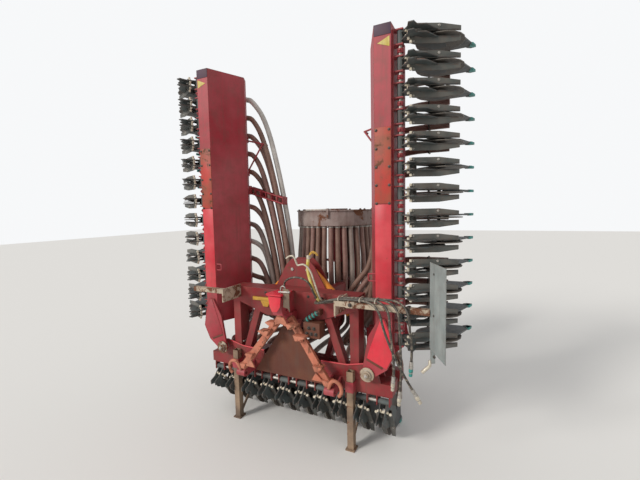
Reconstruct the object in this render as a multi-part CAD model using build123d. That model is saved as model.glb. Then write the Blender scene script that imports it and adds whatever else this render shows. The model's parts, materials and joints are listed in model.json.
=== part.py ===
from build123d import *
import os
from math import acos, atan2, cos, degrees, hypot, radians, sin

# Folded slurry injector, in millimetres. X runs to the right as seen from the hitch side, Y runs
# backwards from the hitch to the distributor, Z is up and the ground is Z = 0. The sizes below
# take Y from the front face of the wing beams. save() moves them to the middle of the machine.

# Rows of injector elements
pitch = 190.0
wing_count = 13
centre_count = 10
shaft_r = 16.0
shaft_y = 74.0
shaft_z = 440.0
round_sides = 10

# Wing pivots, which lie along Y
pivot_x = 745.0
pivot_z = 690.0
pin_r = 25.0
pin_gap = 0.08
side_gap = 8.0
bush_r = 48.0

# Combs that carry the shafts
lug_t = 10.0
lug_half_gap = 48.0
lug_depth = 60.0
lug_over = 26.0
rail_t = 8.0
shaft_drop = 52.0

# Wing beams: a thin box that leans inwards, seen from above
beam_wall = 8.0
beam_front_in = 812.0
beam_ridge_x = 668.0
beam_ridge_y = 367.0
beam_rear_in = 716.0
beam_depth = 456.0
beam_clear_z = 30.0
beam_top_over = 96.0

# Lower cross beams of the centre frame
low_beam_half = 935.0
low_beam_d = 158.0
low_beam_h = 100.0
rear_beam_d = 80.0
beam_tube_wall = 8.0
runner_x = 500.0
runner_w = 80.0

# Pivot ears and wing arms
ear_t = 22.0
ear_r = 58.0
ear_foot_half = 90.0
ear_clear = 5.0
arm_t = 20.0
arm_rear_gap = 36.0

# Upper cross beam, posts and struts
top_beam_d = 166.0
top_beam_z = 1180.0
top_beam_h = 120.0
apron_t = 12.0
apron_drop = 130.0
apron_half = 250.0
post_w = 80.0
strut_w = 70.0
strut_top_x = 300.0

# Mast and fold cylinders
mast_t = 12.0
mast_half_gap = 50.0
mast_foot_half = 330.0
mast_top_half = 150.0
mast_top_z = 1560.0
cyl_y = 300.0
cyl_r = 42.0
rod_r = 22.0
cyl_pin_r = 15.0
cyl_pin_x = 80.0
cyl_pin_z = 1460.0
cyl_body_l = 560.0
eye_r = 32.0
eye_w = 44.0
eye_gap = 6.0
lever_x = 680.0
lever_z = 885.0
lever_rise = 125.0
lever_t = 15.0
foot_rise = 235.0
# Outer edge of the wing foot from the bottom up, with the last corner on its inner side
foot_edge = [(908.0, 753.0), (971.0, 884.0), (943.0, 1030.0)]
foot_top_in = 893.0
foot_top_out = 843.0
foot_inner = (752.0, 1000.0)

# Parking legs
leg_x = 592.0
leg_y = 6.0
leg_w = 56.0
leg_wall = 5.0
leg_top_z = 680.0
sleeve_wall = 7.0
sleeve_gap = 0.5
sleeve_z = 505.0
sleeve_h = 90.0
foot_len = 90.0
foot_w = 80.0
foot_t = 12.0
leg_brace_y = 170.0
leg_brace_z = 190.0
leg_brace_t = 10.0

# Hitch frame
hitch_foot_x = 450.0
hitch_foot_y = -100.0
hitch_foot_z = 560.0
hitch_apex_z = 1090.0
hitch_apex_x = 40.0
hitch_bar = 64.0
hitch_t = 30.0
hitch_plate_t = 8.0
hitch_eye_r = 36.0
hitch_bore_r = 14.4
hitch_eye_half = 45.0
catch_reach = 200.0
catch_half = 50.0
catch_z = 1130.0
catch_h = 180.0
catch_bore_r = 13.0

# Distributor and the stand that carries it
drum_r = 440.0
drum_y = 1120.0
drum_z = 1850.0
drum_h = 150.0
drum_wall = 6.0
cover_over = 10.0
cover_t = 14.0
outlet_ring_r = 400.0
hose_r = 27.0
hose_sides = 6
outlet_count = 36
hose_bottom_z = 1275.0
stand_arm_w = 80.0
stand_arm_x = 210.0
stand_over = 120.0
inlet_r = 75.0
inlet_wall = 6.0
inlet_drop = 420.0
inlet_flange_r = 120.0
inlet_flange_t = 16.0
inlet_bolt_ring_r = 98.0
inlet_bolt_r = 9.0
inlet_bolts = 8

# Warning board and the arms for two boards
board_arm_y = -190.0
board_arm_z = 1300.0
board_arm_w = 42.0
board_arm_in = 560.0
board_arm_end = 1262.0
left_arm_end = 900.0
board_w = 282.0
board_h = 600.0
board_t = 5.0
board_turn = 62.0
board_top_z = 1650.0
board_post_w = 26.0
board_post_drop = 100.0

# Injector element: v runs back from the shaft, u runs away from the beam
plate_t = 8.0
plate_half = 30.0
sleeve_r = 26.0
disc_u = 250.0
disc_v = 216.0
disc_r = 180.0
disc_t = 6.0
disc_sides = 18
spindle_r = 14.0
spindle_gap = 0.08
shoe_t = 10.0
tip_half_w = 9.0
tip_u = 489.0
tip_v = 462.0

# Worked out from the sizes above
wing_shaft_x = pivot_x + pivot_z - shaft_z
beam_face_x = wing_shaft_x - shaft_drop
rail_face_z = shaft_z + shaft_drop
centre_half = centre_count / 2 * pitch
row_bottom_z = pivot_z + centre_half - pivot_x
row_top_z = row_bottom_z + wing_count * pitch
beam_bottom_z = row_bottom_z + beam_clear_z
beam_top_z = row_top_z - pitch / 2 + beam_top_over
low_beam_y = leg_y + leg_w / 2 + sleeve_gap + sleeve_wall
top_beam_y = low_beam_y + apron_t
low_beam_z = rail_face_z + rail_t
low_beam_top = low_beam_z + low_beam_h
top_beam_top = top_beam_z + top_beam_h
rear_beam_end = beam_depth - arm_rear_gap
rear_beam_y = rear_beam_end - rear_beam_d
top_beam_half = pivot_x - ear_foot_half - ear_clear
strut_foot_x = top_beam_half - post_w - strut_w
stand_arm_z = top_beam_z
stand_end_y = drum_y + stand_over

# The centre elements are lifted until their tips rest on the ground
tip_reach = hypot(tip_u, tip_v)
lift = degrees(acos(shaft_z / tip_reach)) - degrees(atan2(tip_v, tip_u))

board_mid_x = board_arm_end + board_w / 2 * cos(radians(board_turn))
board_mid_y = board_arm_y - board_w / 2 * sin(radians(board_turn))
front_reach = -(board_mid_y - board_w / 2 * sin(radians(board_turn))
                - board_t / 2 * cos(radians(board_turn)))
rear_reach = drum_y + drum_r + cover_over
middle_y = (rear_reach - front_reach) / 2


def block(x0, x1, y0, y1, z0, z1):
    return Pos((x0 + x1) / 2, (y0 + y1) / 2, (z0 + z1) / 2) * Box(x1 - x0, y1 - y0, z1 - z0)


def plate_xz(points, y0, y1):
    # A plate across the machine: outline in X and Z, thickness from y0 to y1
    face = make_face(Polyline(*points, close=True))
    return extrude(Plane((0, y0, 0), x_dir=(1, 0, 0), z_dir=(0, -1, 0)) * face, -(y1 - y0))


def plate_yz(points, x0, x1):
    # A plate along the machine: outline in Y and Z, thickness from x0 to x1
    face = make_face(Polyline(*points, close=True))
    return extrude(Plane((x0, 0, 0), x_dir=(0, 1, 0), z_dir=(1, 0, 0)) * face, x1 - x0)


def rod_y(x, z, r, y0, y1):
    return Pos(x, (y0 + y1) / 2, z) * Rot(90, 0, 0) * Cylinder(r, y1 - y0)


def rod_x(y, z, r, x0, x1):
    return Pos((x0 + x1) / 2, y, z) * Rot(0, 90, 0) * Cylinder(r, x1 - x0)


def round_bar_x(y, z, r, x0, x1):
    # A round bar along X with few faces, for what repeats on every element
    section = Plane((x0, y, z), x_dir=(0, 1, 0), z_dir=(1, 0, 0)) * RegularPolygon(r, round_sides)
    return extrude(section, x1 - x0)


def flip(pieces):
    return [mirror(piece, about=Plane.YZ) for piece in pieces]


def both(pieces):
    return pieces + flip(pieces)


# Centre frame

def lower_beam():
    outer = block(-low_beam_half, low_beam_half, low_beam_y, low_beam_y + low_beam_d,
                  low_beam_z, low_beam_top)
    hollow = block(beam_tube_wall - low_beam_half, low_beam_half - beam_tube_wall,
                   low_beam_y + beam_tube_wall, low_beam_y + low_beam_d - beam_tube_wall,
                   low_beam_z + beam_tube_wall, low_beam_top - beam_tube_wall)
    return [outer - hollow]


def rear_beam():
    outer = block(-low_beam_half, low_beam_half, rear_beam_y, rear_beam_end,
                  low_beam_z, low_beam_top)
    hollow = block(beam_tube_wall - low_beam_half, low_beam_half - beam_tube_wall,
                   rear_beam_y + beam_tube_wall, rear_beam_end - beam_tube_wall,
                   low_beam_z + beam_tube_wall, low_beam_top - beam_tube_wall)
    return [outer - hollow]


def runners():
    front = low_beam_y + low_beam_d
    return [block(side * runner_x - runner_w / 2, side * runner_x + runner_w / 2, front,
                  rear_beam_y, low_beam_z, low_beam_top) for side in (-1, 1)]


def pivot_ears():
    # Front pair on the front beam, one on the rear beam, all bored for the pivot pin
    outline = [(pivot_x - ear_foot_half, low_beam_top), (pivot_x + ear_foot_half, low_beam_top),
               (pivot_x + ear_r, pivot_z), (pivot_x - ear_r, pivot_z)]
    starts = [low_beam_y, low_beam_y + low_beam_d - ear_t, rear_beam_end - ear_t]
    ears = []
    for start in starts:
        ear = plate_xz(outline, start, start + ear_t)
        ear += rod_y(pivot_x, pivot_z, ear_r, start, start + ear_t)
        ears.append(ear - rod_y(pivot_x, pivot_z, pin_r + pin_gap, start - 1, start + ear_t + 1))
    return ears


def pivot_pin():
    front = -arm_t - side_gap
    rear = beam_depth + arm_t + side_gap
    head = rod_y(pivot_x, pivot_z, pin_r + 14, front - 12, front)
    return [rod_y(pivot_x, pivot_z, pin_r, front, rear) + head]


def upper_beam():
    tube = block(-top_beam_half, top_beam_half, top_beam_y, top_beam_y + top_beam_d,
                 top_beam_z, top_beam_top)
    tube -= block(-top_beam_half - 1, top_beam_half + 1, top_beam_y + beam_tube_wall,
                  top_beam_y + top_beam_d - beam_tube_wall,
                  top_beam_z + beam_tube_wall, top_beam_top - beam_tube_wall)
    apron = plate_xz([(-top_beam_half, top_beam_top), (top_beam_half, top_beam_top),
                      (top_beam_half, top_beam_z), (apron_half, top_beam_z - apron_drop),
                      (-apron_half, top_beam_z - apron_drop), (-top_beam_half, top_beam_z)],
                     top_beam_y - apron_t, top_beam_y)
    return [tube + apron]


def posts():
    outer = top_beam_half
    outline = [(outer - post_w, low_beam_top), (outer, low_beam_top),
               (outer, top_beam_z), (outer - post_w, top_beam_z)]
    post = plate_xz(outline, top_beam_y, top_beam_y + top_beam_d - 40)
    return [post] + flip([post])


def struts():
    low = low_beam_top
    outline = [(strut_foot_x, low), (strut_foot_x + strut_w, low),
               (strut_top_x + strut_w, top_beam_z), (strut_top_x, top_beam_z)]
    strut = plate_xz(outline, top_beam_y, top_beam_y + strut_w)
    return [strut] + flip([strut])


def mast():
    plates = []
    foot = top_beam_z
    outline = [(-mast_foot_half, foot), (mast_foot_half, foot), (mast_top_half, mast_top_z - 60),
               (mast_top_half - 60, mast_top_z), (60 - mast_top_half, mast_top_z),
               (-mast_top_half, mast_top_z - 60)]
    for start in (cyl_y - mast_half_gap - mast_t, cyl_y + mast_half_gap):
        plate = plate_xz(outline, start, start + mast_t)
        for side in (-1, 1):
            plate -= rod_y(side * cyl_pin_x, cyl_pin_z, cyl_pin_r, start - 1, start + mast_t + 1)
        plates.append(plate)
    return plates


def mast_pins():
    reach = mast_half_gap + mast_t + 8
    return [rod_y(side * cyl_pin_x, cyl_pin_z, cyl_pin_r, cyl_y - reach, cyl_y + reach)
            for side in (-1, 1)]


def mast_spacers():
    # Cross blocks that hold the mast plates to the upper beam and to each other
    foot = top_beam_z
    beam_rear = top_beam_y + top_beam_d
    front = block(-mast_foot_half, mast_foot_half, beam_rear, cyl_y - mast_half_gap - mast_t,
                  foot, top_beam_top)
    between = block(-stand_arm_x + stand_arm_w / 2 + 10, stand_arm_x - stand_arm_w / 2 - 10,
                    cyl_y - mast_half_gap, cyl_y + mast_half_gap, foot, top_beam_top)
    return [front, between]


# Hitch side

def hitch_bars():
    foot = (hitch_foot_x, hitch_foot_y, hitch_foot_z)
    apex = (hitch_apex_x, -hitch_t, hitch_apex_z)
    a, b = Vector(*foot), Vector(*apex)
    along = (b - a).normalized()
    face = Vector(0, -1, 0) - along * along.dot(Vector(0, -1, 0))
    right = extrude(Plane(a, x_dir=face.normalized(), z_dir=along) * Rectangle(hitch_t, hitch_bar),
                    (b - a).length)
    return [right] + flip([right])


def hitch_apex():
    return [block(-hitch_apex_x - hitch_bar / 2, hitch_apex_x + hitch_bar / 2,
                  -hitch_t - hitch_t / 2, low_beam_y,
                  hitch_apex_z - hitch_bar, catch_z)]


def hitch_eye():
    # Two plates from the front beam with a bored bush between them
    x0 = hitch_foot_x - hitch_eye_half
    x1 = hitch_foot_x + hitch_eye_half
    z = hitch_foot_z - hitch_eye_r
    outline = [(low_beam_y, low_beam_z), (low_beam_y, low_beam_top), (hitch_foot_y, z + hitch_eye_r),
               (hitch_foot_y, z - hitch_eye_r)]
    eye = rod_x(hitch_foot_y, z, hitch_eye_r, x0, x1)
    for start in (x0, x1 - hitch_plate_t * 2):
        eye += plate_yz(outline, start, start + hitch_plate_t * 2)
    eye -= rod_x(hitch_foot_y, z, hitch_bore_r, x0 - 1, x1 + 1)
    return [eye]


def hitch_plate():
    foot = hitch_foot_x - hitch_eye_half - side_gap
    outline = [(-foot, low_beam_z), (foot, low_beam_z), (hitch_apex_x, hitch_apex_z - hitch_bar),
               (-hitch_apex_x, hitch_apex_z - hitch_bar)]
    return [plate_xz(outline, low_beam_y - hitch_plate_t, low_beam_y)]


def catch():
    # The catch for the top link, a tapered housing bored for its pin
    top = catch_z + catch_h
    outline = [(low_beam_y, catch_z), (low_beam_y, top), (-catch_reach + 60, top),
               (-catch_reach, top - 50), (-catch_reach + 40, catch_z)]
    body = plate_yz(outline, -catch_half, catch_half)
    body -= rod_x(-catch_reach / 2, catch_z + 40, catch_bore_r, -catch_half - 1, catch_half + 1)
    return [body]


def leg_sleeve():
    half = leg_w / 2 + sleeve_gap
    outer = half + sleeve_wall
    tube = block(leg_x - outer, leg_x + outer, leg_y - outer, leg_y + outer,
                 sleeve_z, sleeve_z + sleeve_h)
    tube -= block(leg_x - half, leg_x + half, leg_y - half, leg_y + half,
                  sleeve_z - 1, sleeve_z + sleeve_h + 1)
    return [tube]


def leg():
    half = leg_w / 2
    tube = block(leg_x - half, leg_x + half, leg_y - half, leg_y + half, foot_t, leg_top_z)
    tube -= block(leg_x - half + leg_wall, leg_x + half - leg_wall, leg_y - half + leg_wall,
                  leg_y + half - leg_wall, foot_t, leg_top_z + 1)
    foot = block(leg_x - foot_w / 2, leg_x + foot_w / 2, leg_y - foot_len / 2,
                 leg_y + foot_len / 2, 0, foot_t)
    rear = leg_y + half
    brace = plate_yz([(rear, foot_t), (rear, foot_t + leg_brace_t * 4), (leg_brace_y, leg_brace_z),
                      (leg_brace_y, leg_brace_z - leg_brace_t * 4)],
                     leg_x - leg_brace_t / 2, leg_x + leg_brace_t / 2)
    return [tube + foot + brace]


# Distributor

def drum():
    body = Pos(0, drum_y, drum_z + drum_h / 2) * Cylinder(drum_r, drum_h)
    body -= Pos(0, drum_y, drum_z + drum_h / 2 + drum_wall) * Cylinder(drum_r - drum_wall, drum_h)
    return [body]


def cover():
    plate = Pos(0, drum_y, drum_z + drum_h + cover_t / 2) * Cylinder(drum_r + cover_over, cover_t)
    return [plate]


def outlet(index):
    angle = radians(360 / outlet_count * (index + 0.5))
    return outlet_ring_r * sin(angle), drum_y - outlet_ring_r * cos(angle)


def skirt_hoses():
    hoses = []
    for index in range(outlet_count):
        x, y = outlet(index)
        section = Plane((x, y, hose_bottom_z)) * RegularPolygon(hose_r, hose_sides)
        hoses.append(extrude(section, drum_z - hose_bottom_z))
    return hoses


def stand_arms():
    rear_face = cyl_y + mast_half_gap + mast_t
    arm = block(stand_arm_x - stand_arm_w / 2, stand_arm_x + stand_arm_w / 2, rear_face,
                stand_end_y, stand_arm_z, stand_arm_z + stand_arm_w)
    return [arm] + flip([arm])


def stand_posts():
    post = block(stand_arm_x - stand_arm_w / 2, stand_arm_x + stand_arm_w / 2,
                 drum_y - stand_arm_w / 2, drum_y + stand_arm_w / 2,
                 stand_arm_z + stand_arm_w, drum_z)
    return [post] + flip([post])


def stand_braces():
    low, high = low_beam_top, stand_arm_z
    outline = [(rear_beam_y + 10, low), (rear_beam_end, low), (drum_y - 160, high),
               (drum_y - 240, high)]
    half = stand_arm_w / 2 - 10
    brace = plate_yz(outline, stand_arm_x - half, stand_arm_x + half)
    return [brace] + flip([brace])


def inlet():
    low = drum_z - inlet_drop
    body = Pos(0, drum_y, low + inlet_drop / 2) * Cylinder(inlet_r, inlet_drop)
    body += Pos(0, drum_y, low + inlet_flange_t / 2) * Cylinder(inlet_flange_r, inlet_flange_t)
    body -= Pos(0, drum_y, low + inlet_drop / 2 - 1) * Cylinder(inlet_r - inlet_wall, inlet_drop)
    for index in range(inlet_bolts):
        angle = radians(360 / inlet_bolts * index)
        body -= Pos(inlet_bolt_ring_r * cos(angle), drum_y + inlet_bolt_ring_r * sin(angle),
                    low + inlet_flange_t / 2) * Cylinder(inlet_bolt_r, inlet_flange_t + 2)
    return [body]


# Board and board arms

def board_arm(end):
    half = board_arm_w / 2
    arm = block(board_arm_in, end, board_arm_y - half, board_arm_y + half,
                board_arm_z - half, board_arm_z + half)
    bracket = block(board_arm_in - board_t * 3, board_arm_in, board_arm_y - half, low_beam_y,
                    top_beam_z + 20, board_arm_z + half)
    return arm + bracket


def board():
    spin = Pos(board_arm_end, board_arm_y, 0) * Rot(0, 0, -board_turn)
    plate = block(0, board_w, -board_t, 0, board_top_z - board_h, board_top_z)
    post = block(0, board_post_w, 0, board_post_w, board_top_z - board_h - board_post_drop,
                 board_top_z - 20)
    return spin * (plate + post)


# One injector element about its shaft, as it hangs on a wing laid flat

def plate_uv(points, x0, x1):
    return plate_yz([(v, -u) for u, v in points], x0, x1)


def element_fork():
    # Sleeve on the shaft, two side plates with a long slot, and the spindle of the disc
    sleeve = round_bar_x(0, 0, sleeve_r, -lug_half_gap, lug_half_gap)
    side = [(10, -24), (70, -92), (88, -150), (128, -150), (140, -96), (200, -70),
            (disc_u + 60, disc_v - 60), (disc_u + 40, disc_v + 44), (disc_u - 50, disc_v + 40),
            (60, 60), (0, 24)]
    slot = [(110, -40), (150, -20), (205, 120), (150, 110), (95, 40)]
    plate = plate_uv(side, -plate_half, -plate_half + plate_t)
    plate -= plate_uv(slot, -plate_half - 1, plate_half)
    plates = plate + mirror(plate, about=Plane.YZ)
    spindle = round_bar_x(disc_v, -disc_u, spindle_r, -plate_half, plate_half)
    return sleeve + plates + spindle


def element_shoe():
    outline = [(disc_u + 62, disc_v - 130), (disc_u + 110, disc_v - 60), (406, 210),
               (tip_u - 26, tip_v - 70), (tip_u - 70, tip_v - 18), (266, tip_v - 20),
               (disc_u + 16, disc_v + 60)]
    outer = plate_half - plate_t
    blade = plate_uv(outline, outer - shoe_t, outer)
    tip = [(tip_u, tip_v), (tip_u - 26, tip_v - 70), (tip_u - 70, tip_v - 18),
           (tip_u - 40, tip_v + 6)]
    middle = outer - shoe_t / 2
    return blade + plate_uv(tip, middle - tip_half_w, middle + tip_half_w)


def element_disc():
    face = Plane((-disc_t / 2, disc_v, -disc_u), x_dir=(0, 1, 0), z_dir=(1, 0, 0)) \
        * RegularPolygon(disc_r, disc_sides)
    return extrude(face, disc_t) - rod_x(disc_v, -disc_u, spindle_r + spindle_gap,
                                         -disc_t, disc_t)


def centre_row(make):
    spots = [(i - (centre_count - 1) / 2) * pitch for i in range(centre_count)]
    one = make()
    return [Pos(x, shaft_y, shaft_z) * Rot(lift, 0, 0) * one for x in spots]


def wing_row(make):
    spots = [row_bottom_z + (i + 0.5) * pitch for i in range(wing_count)]
    one = Rot(0, -90, 0) * make()
    return [Pos(wing_shaft_x, shaft_y, z) * one for z in spots]


# Wings, as they stand folded on the right

def beam_outline(inset):
    points = [(beam_front_in, 0), (beam_face_x, 0), (beam_face_x, beam_depth),
              (beam_rear_in, beam_depth), (beam_ridge_x, beam_ridge_y)]
    return make_face(offset(Polyline(*points, close=True), amount=-inset)) if inset \
        else make_face(Polyline(*points, close=True))


def wing_beam():
    outer = extrude(beam_outline(0), beam_top_z - beam_bottom_z)
    hollow = extrude(beam_outline(beam_wall), beam_top_z - beam_bottom_z - 2 * beam_wall)
    return [Pos(0, 0, beam_bottom_z) * (outer - Pos(0, 0, beam_wall) * hollow)]


def wing_foot():
    # A plate on the front face and one on the rear face, both bored for the pivot pin
    high = beam_bottom_z + foot_rise
    outline = [(pivot_x - bush_r, pivot_z), (pivot_x + bush_r, pivot_z - bush_r / 2), *foot_edge,
               (foot_top_in, high), (foot_top_out, high), foot_inner]
    plates = []
    for start in (-arm_t, beam_depth):
        plate = plate_xz(outline, start, start + arm_t)
        plate += rod_y(pivot_x, pivot_z, bush_r, start, start + arm_t)
        plates.append(plate - rod_y(pivot_x, pivot_z, pin_r + pin_gap, start - 1, start + arm_t + 1))
    return plates


def lever():
    # Two plates on the inner face of the beam, bored for the eye of the rod
    pieces = []
    reach = eye_w / 2 + eye_gap
    solid = Pos(0, 0, beam_bottom_z) * extrude(beam_outline(0), beam_top_z - beam_bottom_z)
    outline = [(lever_x - eye_r, lever_z - eye_r), (lever_x - eye_r, lever_z + lever_rise - eye_r),
               (beam_front_in, lever_z + lever_rise), (beam_front_in, lever_z),
               (lever_x + eye_r, lever_z - eye_r)]
    for start in (cyl_y - reach - lever_t, cyl_y + reach):
        plate = plate_xz(outline, start, start + lever_t) - solid
        pieces.append(plate)
    return pieces


def comb_wing():
    z0 = beam_bottom_z
    z1 = row_top_z - pitch / 2 + lug_half_gap + lug_t
    rail = block(beam_face_x, beam_face_x + rail_t, shaft_y - lug_depth / 2,
                 shaft_y + lug_depth / 2, z0, z1)
    for i in range(wing_count):
        z = row_bottom_z + (i + 0.5) * pitch
        for low in (z - lug_half_gap - lug_t, z + lug_half_gap):
            rail += block(beam_face_x + rail_t, wing_shaft_x + lug_over, shaft_y - lug_depth / 2,
                          shaft_y + lug_depth / 2, low, low + lug_t)
    return [rail]


def comb_centre():
    x1 = (centre_count - 1) / 2 * pitch + lug_half_gap + lug_t
    rail = block(-x1, x1, shaft_y - lug_depth / 2, shaft_y + lug_depth / 2,
                 rail_face_z, rail_face_z + rail_t)
    for i in range(centre_count):
        x = (i - (centre_count - 1) / 2) * pitch
        for low in (x - lug_half_gap - lug_t, x + lug_half_gap):
            rail += block(low, low + lug_t, shaft_y - lug_depth / 2, shaft_y + lug_depth / 2,
                          shaft_z - lug_over, rail_face_z)
    return [rail]


def shafts(count):
    # The shaft shows between one pair of lugs and the next
    length = pitch - 2 * (lug_half_gap + lug_t)
    return [round_bar_x(0, 0, shaft_r, -length / 2, length / 2)] * (count - 1)


def shafts_centre():
    one = shafts(2)[0]
    return [Pos((i - centre_count / 2 + 1) * pitch, shaft_y, shaft_z) * one
            for i in range(centre_count - 1)]


def shafts_wing():
    one = Rot(0, -90, 0) * shafts(2)[0]
    return [Pos(wing_shaft_x, shaft_y, row_bottom_z + (i + 1) * pitch) * one
            for i in range(wing_count - 1)]


# Fold cylinder on the right

def along_cylinder(distance):
    reach = hypot(lever_x - cyl_pin_x, lever_z - cyl_pin_z)
    share = distance / reach
    return (cyl_pin_x + (lever_x - cyl_pin_x) * share, cyl_y,
            cyl_pin_z + (lever_z - cyl_pin_z) * share)


def cylinder_bar(r, start, end):
    a, b = Vector(*along_cylinder(start)), Vector(*along_cylinder(end))
    return extrude(Plane(a, x_dir=(0, 1, 0), z_dir=(b - a).normalized()) * Circle(r), (b - a).length)


def barrel():
    body = rod_y(cyl_pin_x, cyl_pin_z, eye_r, cyl_y - eye_w / 2, cyl_y + eye_w / 2)
    body += cylinder_bar(cyl_r, eye_r + 10, cyl_body_l)
    body += cylinder_bar(eye_w / 2 - 2, 0, eye_r + 10)
    body -= rod_y(cyl_pin_x, cyl_pin_z, cyl_pin_r + pin_gap, cyl_y - eye_w, cyl_y + eye_w)
    body -= cylinder_bar(rod_r + pin_gap, eye_r + 30, cyl_body_l + 1)
    return [body]


def rod():
    reach = hypot(lever_x - cyl_pin_x, lever_z - cyl_pin_z)
    body = cylinder_bar(rod_r, eye_r + 40, reach - eye_r + 6)
    body += rod_y(lever_x, lever_z, eye_r, cyl_y - eye_w / 2, cyl_y + eye_w / 2)
    body -= rod_y(lever_x, lever_z, cyl_pin_r, cyl_y - eye_w, cyl_y + eye_w)
    return [body]


def save(name, pieces):
    shape = pieces[0] if len(pieces) == 1 else Compound(children=list(pieces))
    export_step(Pos(0, -middle_y, 0) * shape, f"parts/{name}.step")


def save_pair(name, pieces):
    save(name + "_right", pieces)
    save(name + "_left", flip(pieces))


def cut(pieces, *others):
    result = []
    for piece in pieces:
        for group in others:
            for other in group:
                piece = piece - other
        result.append(piece)
    return result


os.makedirs("parts", exist_ok=True)
print("lift", round(lift, 3), "middle_y", round(middle_y, 3), "front", round(front_reach, 3))
eyes = both(hitch_eye())
apex = hitch_apex()
save("lower_beam", lower_beam())
save("rear_beam", rear_beam())
save("runners", runners())
save("pivot_ears", both(pivot_ears()))
save("pins", both(pivot_pin()) + mast_pins())
save("upper_beam", upper_beam())
save("posts", posts())
save("struts", struts())
save("mast", mast())
save("mast_spacers", mast_spacers())
save("hitch_bars", cut(hitch_bars(), eyes, apex))
save("hitch_eyes", eyes)
save("hitch_plate", hitch_plate())
save("catch", [catch()[0] + apex[0]])
save("leg_sleeves", both(leg_sleeve()))
save_pair("leg", leg())
save("distributor_drum", drum())
save("distributor_cover", cover())
save("distributor_inlet", inlet())
save("hoses_centre", skirt_hoses())
save("stand_arms", stand_arms())
save("stand_posts", stand_posts())
save("stand_braces", stand_braces())
arms = [board_arm(board_arm_end)] + flip([board_arm(left_arm_end)])
save("board_arm_right", arms[:1])
save("board_arm_left", arms[1:])
save("board", cut([board()], arms))
save_pair("wing_beam", [wing_beam()[0] + lever()])
save_pair("wing_foot", wing_foot())
save_pair("comb_wing", comb_wing())
save("comb_centre", comb_centre())
save_pair("shaft_wing", shafts_wing())
save("shaft_centre", shafts_centre())
save_pair("barrel", barrel())
save_pair("rod", rod())
for name, make in (("forks", element_fork), ("shoes", element_shoe),
                   ("discs", element_disc)):
    save(name + "_centre", centre_row(make))
    save_pair(name + "_wing", wing_row(make))
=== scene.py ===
import bpy
import json
from math import atan2, cos, pi, radians, sin
from mathutils import Matrix, Vector


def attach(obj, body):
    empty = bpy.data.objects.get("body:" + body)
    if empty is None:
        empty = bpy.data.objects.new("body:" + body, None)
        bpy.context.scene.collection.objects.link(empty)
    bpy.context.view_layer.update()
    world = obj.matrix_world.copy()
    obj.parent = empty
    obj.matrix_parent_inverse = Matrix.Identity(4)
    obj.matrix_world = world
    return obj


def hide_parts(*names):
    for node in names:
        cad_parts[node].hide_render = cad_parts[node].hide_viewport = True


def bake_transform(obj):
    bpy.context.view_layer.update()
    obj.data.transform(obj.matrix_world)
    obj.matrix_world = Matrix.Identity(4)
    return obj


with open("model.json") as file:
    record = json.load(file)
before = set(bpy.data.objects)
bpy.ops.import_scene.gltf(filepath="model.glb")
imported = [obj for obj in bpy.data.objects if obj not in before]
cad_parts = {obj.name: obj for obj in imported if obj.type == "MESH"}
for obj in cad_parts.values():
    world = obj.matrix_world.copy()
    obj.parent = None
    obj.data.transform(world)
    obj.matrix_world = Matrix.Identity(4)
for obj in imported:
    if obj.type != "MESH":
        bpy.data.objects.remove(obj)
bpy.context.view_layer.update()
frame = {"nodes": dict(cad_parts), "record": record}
nodes = frame["nodes"]
print("frame loaded,", len(nodes), "nodes")

# Camera, where the photographer stood

cameraSettings = {"place": (1.661, -3.2519, 2.018), "azimuth": 26.255, "pitch": 4.799, "roll": -1.175,
                  "lens": 20.25, "sensor": 36.0}


def makeCamera():
    turn = radians(cameraSettings["azimuth"])
    dip = radians(cameraSettings["pitch"])
    roll = radians(cameraSettings["roll"])
    ahead = Vector((-sin(turn) * cos(dip), cos(turn) * cos(dip), -sin(dip)))
    right = Vector((cos(turn), sin(turn), 0))
    up = right.cross(ahead)
    across = right * cos(roll) + up * sin(roll)
    upward = up * cos(roll) - right * sin(roll)
    data = bpy.data.cameras.new("photoCamera")
    data.lens = cameraSettings["lens"]
    data.sensor_width = cameraSettings["sensor"]
    camera = bpy.data.objects.new("photoCamera", data)
    bpy.context.scene.collection.objects.link(camera)
    columns = Matrix((across, upward, -ahead)).transposed().to_4x4()
    camera.matrix_world = Matrix.Translation(cameraSettings["place"]) @ columns
    bpy.context.scene.camera = camera


makeCamera()
print("camera placed")

# Floor, sky and lamp

studioSettings = {"floorSize": 60.0, "floorColour": (0.80, 0.79, 0.77, 1), "skyLight": 0.62,
                  "skyShown": (0.93, 0.94, 0.95, 1), "sunPower": 2.1, "sunSpread": 16.0,
                  "sunHeading": (0.50, 0.80, -0.48)}


def makeFloor():
    bpy.ops.mesh.primitive_plane_add(size=studioSettings["floorSize"], location=(0, 0, 0))
    floor = bpy.context.object
    floor.name = "floor"
    material = bpy.data.materials.new("paleFloor")
    material.use_nodes = True
    shader = material.node_tree.nodes["Principled BSDF"]
    shader.inputs["Base Color"].default_value = studioSettings["floorColour"]
    shader.inputs["Roughness"].default_value = 0.9
    floor.data.materials.append(material)


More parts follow.
